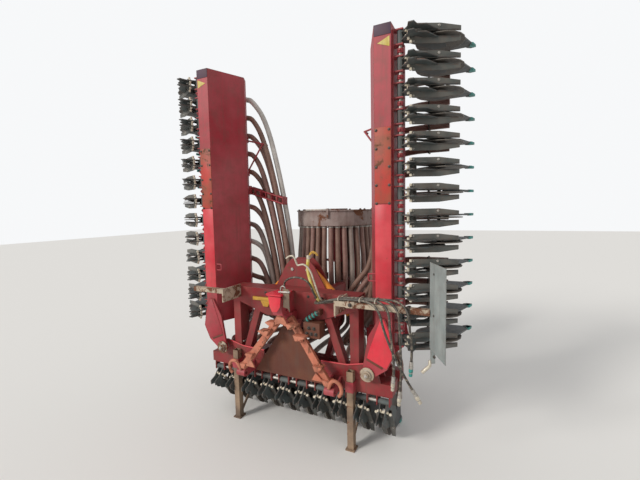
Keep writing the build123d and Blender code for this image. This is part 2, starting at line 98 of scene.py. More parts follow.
def makeSky():
    world = bpy.data.worlds.new("paleSky")
    bpy.context.scene.world = world
    world.use_nodes = True
    tree = world.node_tree
    tree.nodes.clear()
    light = tree.nodes.new("ShaderNodeBackground")
    light.inputs["Color"].default_value = (1, 1, 1, 1)
    light.inputs["Strength"].default_value = studioSettings["skyLight"]
    shown = tree.nodes.new("ShaderNodeBackground")
    shown.inputs["Color"].default_value = studioSettings["skyShown"]
    shown.inputs["Strength"].default_value = 1.0
    rays = tree.nodes.new("ShaderNodeLightPath")
    mix = tree.nodes.new("ShaderNodeMixShader")
    out = tree.nodes.new("ShaderNodeOutputWorld")
    tree.links.new(rays.outputs["Is Camera Ray"], mix.inputs[0])
    tree.links.new(light.outputs[0], mix.inputs[1])
    tree.links.new(shown.outputs[0], mix.inputs[2])
    tree.links.new(mix.outputs[0], out.inputs["Surface"])


def makeSun():
    lamp = bpy.data.lights.new("softSun", "SUN")
    lamp.energy = studioSettings["sunPower"]
    lamp.angle = radians(studioSettings["sunSpread"])
    lamp.color = (1.0, 0.97, 0.92)
    sun = bpy.data.objects.new("softSun", lamp)
    bpy.context.scene.collection.objects.link(sun)
    heading = Vector(studioSettings["sunHeading"])
    turn = heading.to_track_quat("-Z", "Y").to_matrix().to_4x4()
    sun.matrix_world = Matrix.Translation((-3, -5, 6)) @ turn


bpy.ops.object.select_all(action="DESELECT")
makeFloor()
makeSky()
makeSun()
bpy.context.scene.view_settings.view_transform = "Standard"
print("floor and light ready")

# Node helpers for the finishes


def startMaterial(name):
    material = bpy.data.materials.new(name)
    material.use_nodes = True
    tree = material.node_tree
    return material, tree, tree.nodes["Principled BSDF"]


def objectPlace(tree, stretch=(1, 1, 1)):
    where = tree.nodes.new("ShaderNodeTexCoord").outputs["Object"]
    if stretch == (1, 1, 1):
        return where
    mapping = tree.nodes.new("ShaderNodeMapping")
    mapping.inputs["Scale"].default_value = stretch
    tree.links.new(where, mapping.inputs["Vector"])
    return mapping.outputs["Vector"]


def noiseOf(tree, where, scale, detail=5.0, rough=0.6, twist=0.0):
    node = tree.nodes.new("ShaderNodeTexNoise")
    node.inputs["Scale"].default_value = scale
    node.inputs["Detail"].default_value = detail
    node.inputs["Roughness"].default_value = rough
    node.inputs["Distortion"].default_value = twist
    tree.links.new(where, node.inputs["Vector"])
    return node.outputs["Fac"]


def spread(tree, value, low, high, toLow=0.0, toHigh=1.0):
    node = tree.nodes.new("ShaderNodeMapRange")
    node.inputs["From Min"].default_value = low
    node.inputs["From Max"].default_value = high
    node.inputs["To Min"].default_value = toLow
    node.inputs["To Max"].default_value = toHigh
    tree.links.new(value, node.inputs["Value"])
    return node.outputs["Result"]


def sums(tree, kind, first, second):
    node = tree.nodes.new("ShaderNodeMath")
    node.operation = kind
    node.use_clamp = True
    for index, value in enumerate((first, second)):
        if isinstance(value, (int, float)):
            node.inputs[index].default_value = value
        else:
            tree.links.new(value, node.inputs[index])
    return node.outputs[0]


def mixTone(tree, amount, first, second):
    node = tree.nodes.new("ShaderNodeMix")
    node.data_type = "RGBA"
    if isinstance(amount, float):
        node.inputs[0].default_value = amount
    else:
        tree.links.new(amount, node.inputs[0])
    for index, tone in ((6, first), (7, second)):
        if isinstance(tone, tuple):
            node.inputs[index].default_value = (*tone, 1)
        else:
            tree.links.new(tone, node.inputs[index])
    return node.outputs[2]


def edgeOf(tree, radius, low=0.985, high=0.86):
    # How near a sharp edge is: the bevelled normal leans away from the face there
    bevel = tree.nodes.new("ShaderNodeBevel")
    bevel.samples = 4
    bevel.inputs["Radius"].default_value = radius
    flat = tree.nodes.new("ShaderNodeNewGeometry")
    dot = tree.nodes.new("ShaderNodeVectorMath")
    dot.operation = "DOT_PRODUCT"
    tree.links.new(bevel.outputs["Normal"], dot.inputs[0])
    tree.links.new(flat.outputs["Normal"], dot.inputs[1])
    return spread(tree, dot.outputs["Value"], low, high), bevel.outputs["Normal"]


def bumpTo(tree, shader, height, strength, distance, base=None):
    bump = tree.nodes.new("ShaderNodeBump")
    bump.inputs["Strength"].default_value = strength
    bump.inputs["Distance"].default_value = distance
    tree.links.new(height, bump.inputs["Height"])
    if base is not None:
        tree.links.new(base, bump.inputs["Normal"])
    tree.links.new(bump.outputs["Normal"], shader.inputs["Normal"])


# Paint that has stood outside: faded patches, run-down dirt, chips and rusty edges

def weatheredPaint(name, look):
    material, tree, shader = startMaterial(name)
    where = objectPlace(tree)
    fade = spread(tree, noiseOf(tree, where, look["fadeScale"], 4, 0.55), 0.36, 0.68)
    tone = mixTone(tree, fade, look["paint"], look["faded"])
    streak = noiseOf(tree, objectPlace(tree, (26, 26, 1.6)), 1.0, 6, 0.65)
    streak = spread(tree, streak, 0.50, 0.78, 0, look["streaks"])
    tone = mixTone(tree, streak, tone, look["dirt"])
    grime = spread(tree, noiseOf(tree, where, 9.0, 8, 0.7), 0.46, 0.80, 0, look["grime"])
    tone = mixTone(tree, grime, tone, look["dirt"])
    edge, rounded = edgeOf(tree, look["edge"])
    patch = noiseOf(tree, where, look["rustScale"], 9, 0.72, 0.6)
    rust = spread(tree, patch, look["rustFrom"], look["rustFrom"] + 0.05)
    worn = sums(tree, "MULTIPLY", edge, spread(tree, noiseOf(tree, where, 38.0, 6, 0.7), 0.40, 0.58))
    rust = sums(tree, "MAXIMUM", rust, worn)
    speck = spread(tree, noiseOf(tree, where, 120.0, 3, 0.5), 0.3, 0.7)
    rustTone = mixTone(tree, speck, look["rust"], look["rustDark"])
    tone = mixTone(tree, rust, tone, rustTone)
    tree.links.new(tone, shader.inputs["Base Color"])
    rough = spread(tree, fade, 0, 1, look["gloss"], look["gloss"] + 0.16)
    rough = sums(tree, "MAXIMUM", rough, spread(tree, rust, 0, 1, 0, 0.85))
    tree.links.new(rough, shader.inputs["Roughness"])
    fine = noiseOf(tree, where, 210.0, 3, 0.5)
    height = sums(tree, "SUBTRACT", sums(tree, "MULTIPLY", fine, 0.25), sums(tree, "MULTIPLY", rust, 0.5))
    height = sums(tree, "ADD", height, 0.5)
    bumpTo(tree, shader, height, 0.35, 0.0016, rounded)
    shader.inputs["Specular IOR Level"].default_value = 0.4
    return material


# Steel that soil has scoured: bright along the rubbed edges, brown and grey between

def scouredSteel(name, look):
    material, tree, shader = startMaterial(name)
    where = objectPlace(tree)
    tone = mixTone(tree, spread(tree, noiseOf(tree, where, look["scale"], 7, 0.66, 0.5), 0.36, 0.66),
                   look["dark"], look["light"])
    soil = spread(tree, noiseOf(tree, where, look["scale"] * 2.4, 8, 0.72), 0.48, 0.64)
    tone = mixTone(tree, sums(tree, "MULTIPLY", soil, look["soilAmount"]), tone, look["soil"])
    edge, rounded = edgeOf(tree, look["edge"])
    rub = sums(tree, "MULTIPLY", edge, look["rub"])
    tone = mixTone(tree, rub, tone, look["bright"])
    tree.links.new(tone, shader.inputs["Base Color"])
    shader.inputs["Metallic"].default_value = look["metal"]
    rough = spread(tree, noiseOf(tree, where, 60.0, 4, 0.6), 0.2, 0.8,
                   look["rough"] - 0.12, look["rough"] + 0.12)
    tree.links.new(rough, shader.inputs["Roughness"])
    bumpTo(tree, shader, noiseOf(tree, where, 150.0, 6, 0.7), 0.4, 0.0014, rounded)
    return material


# Hose rubber, dusty, with faint bands along its length

def hoseRubber(name, look):
    material, tree, shader = startMaterial(name)
    where = objectPlace(tree)
    tone = mixTone(tree, spread(tree, noiseOf(tree, where, 5.0, 5, 0.6), 0.34, 0.68),
                   look["dark"], look["light"])
    dust = spread(tree, noiseOf(tree, where, 42.0, 6, 0.7), 0.50, 0.74, 0, look["dust"])
    tone = mixTone(tree, dust, tone, look["dustTone"])
    tree.links.new(tone, shader.inputs["Base Color"])
    tree.links.new(spread(tree, dust, 0, 1, look["rough"], 0.92), shader.inputs["Roughness"])
    bumpTo(tree, shader, noiseOf(tree, where, 240.0, 4, 0.6), 0.25, 0.0010)
    return material


rustTones = {"rust": (0.200, 0.075, 0.034), "rustDark": (0.085, 0.034, 0.020),
             "dirt": (0.105, 0.060, 0.042)}
finishes = {
    "red_paint": weatheredPaint("fadedRedPaint", {
        "paint": (0.330, 0.020, 0.032), "faded": (0.410, 0.075, 0.088), "fadeScale": 1.7, "streaks": 0.50,
        "grime": 0.55, "edge": 0.006, "rustScale": 6.5, "rustFrom": 0.665, "gloss": 0.42, **rustTones}),
    # Darker red for the frame nodes: more dirt, and painted shade mixed into the paint
    "shaded_frame_red": weatheredPaint("dirtyShadedFrameRed", {
        "paint": (0.205, 0.012, 0.017), "faded": (0.290, 0.045, 0.044), "fadeScale": 2.6, "streaks": 0.60,
        "grime": 0.70, "edge": 0.006, "rustScale": 8.0, "rustFrom": 0.640, "gloss": 0.44, **rustTones}),
    "hitch_paint": weatheredPaint("rustySalmonPaint", {
        "paint": (0.500, 0.155, 0.090), "faded": (0.560, 0.220, 0.140), "fadeScale": 5.0, "streaks": 0.35,
        "grime": 0.70, "edge": 0.007, "rustScale": 13.0, "rustFrom": 0.56, "gloss": 0.60, **rustTones}),
    "cylinder_paint": weatheredPaint("orangeCylinderPaint", {
        "paint": (0.800, 0.235, 0.012), "faded": (0.780, 0.310, 0.040), "fadeScale": 4.0, "streaks": 0.25,
        "grime": 0.45, "edge": 0.005, "rustScale": 16.0, "rustFrom": 0.67, "gloss": 0.38, **rustTones}),
    "arm_steel": weatheredPaint("wornBeigeArm", {
        "paint": (0.420, 0.340, 0.250), "faded": (0.500, 0.420, 0.320), "fadeScale": 7.0, "streaks": 0.40,
        "grime": 0.60, "edge": 0.006, "rustScale": 11.0, "rustFrom": 0.50, "gloss": 0.62, **rustTones}),
    "leg_steel": weatheredPaint("wornLegPaint", {
        "paint": (0.150, 0.105, 0.075), "faded": (0.330, 0.230, 0.150), "fadeScale": 6.0, "streaks": 0.40,
        "grime": 0.50, "edge": 0.006, "rustScale": 12.0, "rustFrom": 0.57, "gloss": 0.58, **rustTones}),
    "board_paint": weatheredPaint("greyBoardPaint", {
        "paint": (0.230, 0.270, 0.265), "faded": (0.310, 0.345, 0.335), "fadeScale": 6.0, "streaks": 0.35,
        "grime": 0.35, "edge": 0.004, "rustScale": 22.0, "rustFrom": 0.69, "gloss": 0.55, **rustTones}),
    "dark_plate": weatheredPaint("darkRustyPlate", {
        "paint": (0.105, 0.030, 0.018), "faded": (0.150, 0.052, 0.028), "fadeScale": 4.0, "streaks": 0.50,
        "grime": 0.50, "edge": 0.006, "rustScale": 8.0, "rustFrom": 0.60, "gloss": 0.60, **rustTones}),
    "drum_steel": weatheredPaint("rustyDrumSteel", {
        "paint": (0.235, 0.165, 0.150), "faded": (0.330, 0.270, 0.250), "fadeScale": 6.0, "streaks": 0.60,
        "grime": 0.60, "edge": 0.006, "rustScale": 5.0, "rustFrom": 0.535, "gloss": 0.60, **rustTones}),
    "element_paint": weatheredPaint("slateElementPaint", {
        "paint": (0.052, 0.068, 0.070), "faded": (0.110, 0.130, 0.128), "fadeScale": 8.0, "streaks": 0.40,
        "grime": 0.55, "edge": 0.007, "rustScale": 16.0, "rustFrom": 0.66, "gloss": 0.46, **rustTones}),
    "disc_steel": scouredSteel("scouredDisc", {
        "dark": (0.060, 0.052, 0.046), "light": (0.135, 0.118, 0.100), "bright": (0.40, 0.37, 0.33),
        "soil": (0.115, 0.080, 0.055), "soilAmount": 0.6, "scale": 9.0, "edge": 0.006, "rub": 0.7,
        "metal": 0.35, "rough": 0.55}),
    "shoe_steel": scouredSteel("darkShoeSteel", {
        "dark": (0.030, 0.036, 0.040), "light": (0.075, 0.085, 0.090), "bright": (0.30, 0.31, 0.31),
        "soil": (0.100, 0.075, 0.055), "soilAmount": 0.45, "scale": 11.0, "edge": 0.006, "rub": 0.8,
        "metal": 0.25, "rough": 0.50}),
    "shaft_steel": scouredSteel("silverShaft", {
        "dark": (0.330, 0.310, 0.280), "light": (0.620, 0.600, 0.560), "bright": (0.75, 0.74, 0.70),
        "soil": (0.240, 0.150, 0.090), "soilAmount": 0.45, "scale": 14.0, "edge": 0.004, "rub": 0.5,
        "metal": 0.70, "rough": 0.42}),
    "rod_steel": scouredSteel("chromeRod", {
        "dark": (0.450, 0.450, 0.450), "light": (0.660, 0.660, 0.650), "bright": (0.80, 0.80, 0.78),
        "soil": (0.200, 0.150, 0.110), "soilAmount": 0.20, "scale": 8.0, "edge": 0.004, "rub": 0.4,
        "metal": 0.90, "rough": 0.26}),
    "hose_rubber": hoseRubber("brownSlurryHose", {
        "dark": (0.140, 0.072, 0.054), "light": (0.240, 0.140, 0.105), "dust": 0.55,
        "dustTone": (0.330, 0.250, 0.200), "rough": 0.48}),
    "black_hose": hoseRubber("blackHydraulicHose", {
        "dark": (0.024, 0.021, 0.018), "light": (0.085, 0.072, 0.058), "dust": 0.95,
        "dustTone": (0.420, 0.350, 0.265), "rough": 0.45}),
    "coupler": scouredSteel("creamCoupler", {
        "dark": (0.420, 0.370, 0.290), "light": (0.640, 0.590, 0.480), "bright": (0.74, 0.71, 0.64),
        "soil": (0.180, 0.120, 0.080), "soilAmount": 0.40, "scale": 30.0, "edge": 0.003, "rub": 0.5,
        "metal": 0.30, "rough": 0.45}),
}


def dress(name, material):
    for slot in nodes[name].material_slots:
        slot.material = material


def finishOf(name):
    # The record says which slot each node takes its finish from
    for row in frame["record"]["subparts"]:
        if row["node"] == name:
            return row["material_slot"]
    return None


# These frame nodes take the darker red with painted shade in place of their slot's red
shadedFrameNodes = ("upper_beam", "mast", "mast_spacers", "posts", "struts", "lower_beam", "rear_beam", "runners",
              "pivot_ears", "stand_arms", "stand_posts", "stand_braces", "comb_centre")
for name in sorted(nodes):
    slotName = "shaded_frame_red" if name in shadedFrameNodes else finishOf(name)
    if slotName in finishes:
        dress(name, finishes[slotName])
    else:
        print("no finish for", name, slotName)
print("node finishes on")

# Modelling helpers


def onlyActive(piece):
    bpy.ops.object.select_all(action="DESELECT")
    piece.select_set(True)
    bpy.context.view_layer.objects.active = piece


def paint(piece, finish):
    piece.data.materials.clear()
    piece.data.materials.append(finish)


def settle(piece, finish, bevel=0.0, segments=2):
    # Its place goes into the mesh, sharp edges are rounded and it takes its finish
    onlyActive(piece)
    bpy.ops.object.transform_apply(location=True, rotation=True, scale=True)
    if bevel:
        modifier = piece.modifiers.new("edges", "BEVEL")
        modifier.width = bevel
        modifier.segments = segments
        modifier.limit_method = "ANGLE"
        bpy.ops.object.modifier_apply(modifier=modifier.name)
    bpy.ops.object.shade_smooth_by_angle(angle=radians(35))
    paint(piece, finish)
    return piece


def plateOf(outline, thin, start, depth, finish, bevel=0.0):
    # A flat outline drawn across one axis and extruded along it
    places = {"x": lambda a, b: (start, a, b), "y": lambda a, b: (a, start, b),
              "z": lambda a, b: (a, b, start)}
    shift = {"x": (depth, 0, 0), "y": (0, depth, 0), "z": (0, 0, depth)}[thin]
    bpy.ops.object.select_all(action="DESELECT")
    bpy.ops.mesh.primitive_circle_add(vertices=len(outline), radius=1, fill_type="NGON")
    piece = bpy.context.object
    for vertex, (across, up) in zip(piece.data.vertices, outline):
        vertex.co = places[thin](across, up)
    bpy.ops.object.mode_set(mode="EDIT")
    bpy.ops.mesh.select_all(action="SELECT")
    bpy.ops.mesh.extrude_region_move(TRANSFORM_OT_translate={"value": shift})
    bpy.ops.mesh.select_all(action="SELECT")
    bpy.ops.mesh.normals_make_consistent(inside=False)
    bpy.ops.object.mode_set(mode="OBJECT")
    return settle(piece, finish, bevel)


def barOf(low, high, finish, bevel=0.003):
    bpy.ops.object.select_all(action="DESELECT")
    middle = [(a + b) / 2 for a, b in zip(low, high)]
    bpy.ops.mesh.primitive_cube_add(size=1, location=middle)
    piece = bpy.context.object
    piece.scale = [b - a for a, b in zip(low, high)]
    return settle(piece, finish, bevel)


def rodOf(first, last, radius, finish, sides=14, bevel=0.0015):
    # A round or six-sided bar between two points
    bpy.ops.object.select_all(action="DESELECT")
    a, b = Vector(first), Vector(last)
    bpy.ops.mesh.primitive_cylinder_add(vertices=sides, radius=radius, depth=(b - a).length)
    piece = bpy.context.object
    turn = (b - a).to_track_quat("Z", "Y").to_matrix().to_4x4()
    piece.data.transform(Matrix.Translation((a + b) / 2) @ turn)
    return settle(piece, finish, bevel)


def boltOf(place, heading, size, finish, reach=0.6, sides=6):
    # Hexagon head on a washer, standing off the face at place
    way = Vector(heading).normalized()
    base = Vector(place)
    washer = rodOf(place, base + way * size * 0.18, size * 0.72, finish, 16, size * 0.04)
    head = rodOf(base + way * size * 0.17, base + way * size * reach, size * 0.5, finish, sides, size * 0.07)
    return joined([washer, head])


def joined(parts, name=None):
    bpy.ops.object.select_all(action="DESELECT")
    for part in parts:
        part.select_set(True)
    bpy.context.view_layer.objects.active = parts[0]
    if len(parts) > 1:
        bpy.ops.object.join()
    whole = bpy.context.view_layer.objects.active
    if name:
        whole.name = name
        whole.data.name = name
    return whole


def copyOf(piece, matrix):
    twin = piece.copy()
    twin.data = piece.data.copy()
    bpy.context.scene.collection.objects.link(twin)
    twin.data.transform(matrix)
    if matrix.determinant() < 0:
        onlyActive(twin)
        bpy.ops.object.mode_set(mode="EDIT")
        bpy.ops.mesh.select_all(action="SELECT")
        bpy.ops.mesh.normals_make_consistent(inside=False)
        bpy.ops.object.mode_set(mode="OBJECT")
    return twin


def drop(piece):
    bpy.data.objects.remove(piece, do_unlink=True)


def curveOf(name, route, radius, ringSteps=3, steps=6):
    data = bpy.data.curves.new(name, "CURVE")
    data.dimensions = "3D"
    data.bevel_depth = radius
    data.bevel_resolution = ringSteps
    data.resolution_u = steps
    data.use_fill_caps = True
    spline = data.splines.new("NURBS")
    spline.points.add(len(route) - 1)
    for point, place in zip(spline.points, route):
        point.co = (*place, 1)
    spline.order_u = 3
    spline.use_endpoint_u = True
    curve = bpy.data.objects.new(name, data)
    bpy.context.scene.collection.objects.link(curve)
    return curve


def tubeOf(name, route, radius, finish, ringSteps=3, steps=6):
    curve = curveOf(name, route, radius, ringSteps, steps)
    curve.data.materials.append(finish)
    onlyActive(curve)
    bpy.ops.object.convert(target="MESH")
    tube = bpy.context.view_layer.objects.active
    bpy.ops.object.shade_smooth()
    return tube


mirror = Matrix.Diagonal((-1, 1, 1, 1))

# Finishes that only the scene's own pieces have

finishes["white_hose"] = hoseRubber("paleSlurryHose", {
    "dark": (0.430, 0.410, 0.380), "light": (0.620, 0.600, 0.560), "dust": 0.45,
    "dustTone": (0.300, 0.250, 0.210), "rough": 0.50})
finishes["grey_hose"] = hoseRubber("greySlurryHose", {
    "dark": (0.200, 0.150, 0.130), "light": (0.330, 0.270, 0.235), "dust": 0.50,
    "dustTone": (0.370, 0.300, 0.250), "rough": 0.50})
finishes["pink_hose"] = hoseRubber("pinkishSlurryHose", {
    "dark": (0.170, 0.085, 0.070), "light": (0.300, 0.170, 0.140), "dust": 0.50,
    "dustTone": (0.360, 0.270, 0.230), "rough": 0.46})
# Cream of the sunlit step edges and small bars on the elements: painted sunlight
finishes["worn_edge"] = scouredSteel("creamSunlitEdge", {
    "dark": (0.700, 0.610, 0.460), "light": (0.900, 0.840, 0.700), "bright": (0.93, 0.90, 0.82),
    "soil": (0.330, 0.230, 0.150), "soilAmount": 0.15, "scale": 36.0, "edge": 0.002, "rub": 0.5,
    "metal": 0.20, "rough": 0.50})
finishes["web_paint"] = weatheredPaint("slateWebPaint", {
    "paint": (0.075, 0.080, 0.074), "faded": (0.145, 0.146, 0.130), "fadeScale": 9.0, "streaks": 0.35,
    "grime": 0.60, "edge": 0.004, "rustScale": 18.0, "rustFrom": 0.64, "gloss": 0.46, **rustTones})
finishes["teal_paint"] = weatheredPaint("tealTipPaint", {
    "paint": (0.020, 0.240, 0.215), "faded": (0.060, 0.330, 0.300), "fadeScale": 12.0, "streaks": 0.30,
    "grime": 0.50, "edge": 0.003, "rustScale": 26.0, "rustFrom": 0.60, "gloss": 0.45, **rustTones})
finishes["dark_bolt"] = scouredSteel("darkBolt", {
    "dark": (0.028, 0.024, 0.022), "light": (0.090, 0.080, 0.072), "bright": (0.34, 0.32, 0.29),
    "soil": (0.120, 0.070, 0.045), "soilAmount": 0.55, "scale": 60.0, "edge": 0.002, "rub": 0.6,
    "metal": 0.55, "rough": 0.48})
finishes["zinc_bolt"] = scouredSteel("dullZincBolt", {
    "dark": (0.300, 0.285, 0.255), "light": (0.560, 0.540, 0.500), "bright": (0.72, 0.70, 0.66),
    "soil": (0.230, 0.130, 0.080), "soilAmount": 0.45, "scale": 60.0, "edge": 0.002, "rub": 0.6,
    "metal": 0.60, "rough": 0.42})
finishes["marker_yellow"] = weatheredPaint("fadedYellowMarker", {
    "paint": (0.560, 0.430, 0.080), "faded": (0.640, 0.530, 0.200), "fadeScale": 20.0, "streaks": 0.30,
    "grime": 0.50, "edge": 0.001, "rustScale": 40.0, "rustFrom": 0.62, "gloss": 0.50, **rustTones})
finishes["cover_paint"] = weatheredPaint("wornCoverPaint", {
    "paint": (0.470, 0.040, 0.030), "faded": (0.300, 0.085, 0.045), "fadeScale": 5.0, "streaks": 0.30,
    "grime": 0.60, "edge": 0.004, "rustScale": 9.0, "rustFrom": 0.57, "gloss": 0.45, **rustTones})
finishes["cover_low"] = weatheredPaint("scratchedCoverPaint", {
    "paint": (0.540, 0.024, 0.040), "faded": (0.620, 0.080, 0.090), "fadeScale": 3.0, "streaks": 0.20,
    "grime": 0.30, "edge": 0.004, "rustScale": 18.0, "rustFrom": 0.68, "gloss": 0.38, **rustTones})
finishes["dark_cap"] = weatheredPaint("darkTopCap", {
    "paint": (0.055, 0.030, 0.055), "faded": (0.085, 0.045, 0.070), "fadeScale": 8.0, "streaks": 0.30,
    "grime": 0.40, "edge": 0.004, "rustScale": 18.0, "rustFrom": 0.66, "gloss": 0.50, **rustTones})
# Red lightened to a sunlit tone: painted sunlight, for the right foot plate and the catch
finishes["bright_red"] = weatheredPaint("sunlitRedPaint", {
    "paint": (0.640, 0.016, 0.040), "faded": (0.700, 0.060, 0.075), "fadeScale": 4.0, "streaks": 0.15,
    "grime": 0.25, "edge": 0.004, "rustScale": 20.0, "rustFrom": 0.69, "gloss": 0.36, **rustTones})
finishes["ochre_paint"] = weatheredPaint("ochrePaint", {
    "paint": (0.480, 0.250, 0.020), "faded": (0.560, 0.330, 0.060), "fadeScale": 8.0, "streaks": 0.30,
    "grime": 0.45, "edge": 0.004, "rustScale": 20.0, "rustFrom": 0.63, "gloss": 0.45, **rustTones})
finishes["yellow_tape"] = weatheredPaint("yellowTape", {
    "paint": (0.640, 0.500, 0.090), "faded": (0.720, 0.620, 0.260), "fadeScale": 30.0, "streaks": 0.40,
    "grime": 0.60, "edge": 0.002, "rustScale": 30.0, "rustFrom": 0.66, "gloss": 0.55, **rustTones})
finishes["pale_steel"] = scouredSteel("paleDrumPlate", {
    "dark": (0.330, 0.310, 0.280), "light": (0.560, 0.540, 0.500), "bright": (0.70, 0.68, 0.64),
    "soil": (0.230, 0.150, 0.100), "soilAmount": 0.55, "scale": 16.0, "edge": 0.003, "rub": 0.5,
    "metal": 0.30, "rough": 0.55})
print("scene finishes ready")

# Slurry hoses: from the drum down to lanes behind the frame and up to the wings' elements

fan = {"radius": 0.027, "ring": 0.400, "drumY": 0.555, "drumZ": 1.850, "outlets": 36, "pitch": 0.190,
       "mouthDrop": 0.10, "flare": 1.09, "flareDrop": 0.42, "elbow": 0.16,
       "laneX": 0.285, "lanePitch": 0.061, "rearY": 0.040, "frontY": -0.020, "rearCount": 7, "wingCount": 13,
       "topLevel": 1.060, "levelStep": 0.036, "turnLow": 1.120, "liftOff": 0.060, "bendReach": 0.850,
       "rise": 1.590, "lowRow": 0.990, "low": 0.080, "pivotX": 0.745, "cross": 0.040, "pastPivot": 0.06,
       "bends": ((0.30, 0.47), (0.68, 0.86)), "wingX": 1.000, "endX": 1.290, "endRun": 0.1}
tight = {"x": 0.640, "pitch": 0.048, "leastClimb": 0.62, "lean": (0.30, 0.20), "straight": 0.48,
         "topGap": 0.16, "lowLean": 0.60, "beamX": 0.80, "drop": 0.02, "bendReach": 0.60}
centre = {"level": 0.590, "levelShare": 0.6, "turnY": 0.135, "tailY": 0.017, "tailZ": 0.420, "tailDrop": 0.08,
          "endZ": 0.215}
clamp = {"low": 1.826, "high": 1.842, "radius": 0.031, "screwIn": (0.030, 1.828), "screwOut": (0.040, 1.840),
         "screwRadius": 0.006}
wingRows = (12, 10, 8, 6, 4, 2, 0, 1, 3, 5, 7, 9, 11)


def outletPlace(index):
    angle = 2 * pi / fan["outlets"] * (index + 0.5)
    return fan["ring"] * sin(angle), fan["drumY"] - fan["ring"] * cos(angle)


def downRoute(index, level):
    # From the outlet, swelling a little outwards, down to a level
    x, y = outletPlace(index)
    top = fan["drumZ"]
    wide = (x * fan["flare"], fan["drumY"] + (y - fan["drumY"]) * fan["flare"], top - fan["flareDrop"])
    return [(x, y, top), (x, y, top - fan["mouthDrop"]), wide, (x, y, level + fan["elbow"]), (x, y, level)]


def laneOf(index):
    # Seven lanes side by side in the rear layer, and six before them in the front one
    if index < fan["rearCount"]:
        return index, fan["rearY"]
    return fan["wingCount"] - 1 - index, fan["frontY"]


def dropRoute(index):
    # Down from the outlet, and level to the foot of its lane
    place, layer = laneOf(index)
    lane = fan["laneX"] + fan["lanePitch"] * place
    level = fan["topLevel"] - fan["levelStep"] * index
    x, y = outletPlace(index)
    middle = ((x + lane) / 2, (y + layer) / 2, level)
    return downRoute(index, level), middle, (lane, layer, level)


def crossingOf(index):
    # Height at which a hose passes the line of the pivot
    return fan["lowRow"] + fan["pitch"] * wingRows[index] - fan["low"]


def climbs(index, level):
    return crossingOf(index) > level + 4 * fan["liftOff"]


def riseRoute(index):
    # On the left the hoses lean over to the wing in a wide fan
    route, middle, foot = dropRoute(index)
    lane, layer, level = foot
    crossing = crossingOf(index)
    edge = fan["pivotX"] - fan["cross"]
    slope = fan["rise"] / (edge - fan["laneX"])
    turn = max(level + fan["liftOff"], fan["turnLow"], crossing - slope * (edge - lane))
    points = [middle, foot]
    if climbs(index, level):
        points.append((lane, layer, turn))
        for across, up in fan["bends"]:
            points.append((lane + (edge - lane) * across, layer, turn + (crossing - turn) * up))
    side = fan["rearY"] if wingRows[index] == 0 else fan["frontY"]
    row = crossing + fan["low"]
    points += [(edge, side, crossing), (fan["pivotX"] + fan["cross"], side, crossing + 0.02),
               (fan["wingX"], side, row), (fan["endX"] - fan["endRun"], side, row), (fan["endX"], side, row)]
    return points


def tightRoute(index):
    # On the right the hoses go up hidden close behind the wing beam
    route, middle, foot = dropRoute(index)
    lane, layer, level = foot
    row = fan["lowRow"] + fan["pitch"] * wingRows[index]
    up = tight["x"] + tight["pitch"] * laneOf(index)[0]
    points = [middle, foot]
    if row - fan["low"] > level + tight["leastClimb"]:
        across, lift = tight["lean"]
        points += [(lane + (up - lane) * across, layer, level + lift), (up, layer, level + tight["straight"]),
                   (up, layer, row - tight["topGap"])]
    else:
        points += [(lane + (up - lane) * tight["lowLean"], layer, (level + row) / 2)]
    side = fan["frontY"]
    points += [(max(up, tight["beamX"]) + tight["drop"], layer, row - tight["drop"]),
               (fan["wingX"], side, row), (fan["endX"] - fan["endRun"], side, row), (fan["endX"], side, row)]
    return points


def centreRoute(index):
    level = centre["level"] - fan["levelStep"] * (index - fan["wingCount"]) * centre["levelShare"]
    target = (fan["outlets"] / 2 - index - 0.5) * fan["pitch"]
    tail = [(target, centre["tailY"], z) for z in (centre["tailZ"], centre["tailZ"] - centre["tailDrop"],
                                                   centre["endZ"])]
    return downRoute(index, level) + [(target, centre["turnY"], level)] + tail


hoseTones = ("hose_rubber", "pink_hose", "hose_rubber", "pink_hose", "grey_hose")
drops, rises, tails = [], [], []
for index in range(fan["wingCount"]):
    tone = finishes[hoseTones[index % 5]]
    route, middle, foot = dropRoute(index)
    drops.append(tubeOf("drop", route + [middle], fan["radius"], tone))
    left = copyOf(tubeOf("rise", riseRoute(index), fan["radius"], tone, 3, 14), mirror)
    drop(bpy.data.objects["rise"])
    rises.append((tubeOf("riseRight", tightRoute(index), fan["radius"], tone, 3, 14), left))
for index in range(fan["wingCount"], fan["outlets"] // 2):
    tone = finishes[hoseTones[(index + 2) % 5]]
    tails.append(tubeOf("tail", centreRoute(index), fan["radius"], tone))
rightDrops = joined(drops + tails, "slurryDropsRight")
leftDrops = copyOf(rightDrops, mirror)
leftDrops.name = "slurryDropsLeft"
for piece in (rightDrops, leftDrops):
    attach(piece, "frame")
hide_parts("hoses_centre")
for index, (near, far) in enumerate(rises):
    route, middle, foot = dropRoute(index)
    if wingRows[index] in (12, 4):
        paint(far, finishes["white_hose"])
    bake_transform(far)
    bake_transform(near)
    for piece, side in ((near, "Right"), (far, "Left")):
        piece.name = "slurryRise" + side + str(wingRows[index] + 1)

# A band round every outlet, with its screw
bands = []
for index in range(fan["outlets"]):
    x, y = outletPlace(index)
    bands.append(rodOf((x, y, clamp["low"]), (x, y, clamp["high"]), clamp["radius"],
                       finishes["zinc_bolt"], 14, 0.003))
    ends = []
    for out, z in (clamp["screwIn"], clamp["screwOut"]):
        ends.append((x + out * cos(index), y + out * sin(index), z))
    bands.append(rodOf(ends[0], ends[1], clamp["screwRadius"], finishes["zinc_bolt"], 6))
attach(joined(bands, "drumHoseClamps"), "frame")
print("slurry hoses ready")

# Stepped web, bolts and tip on every injector element, first drawn for one that lies along x

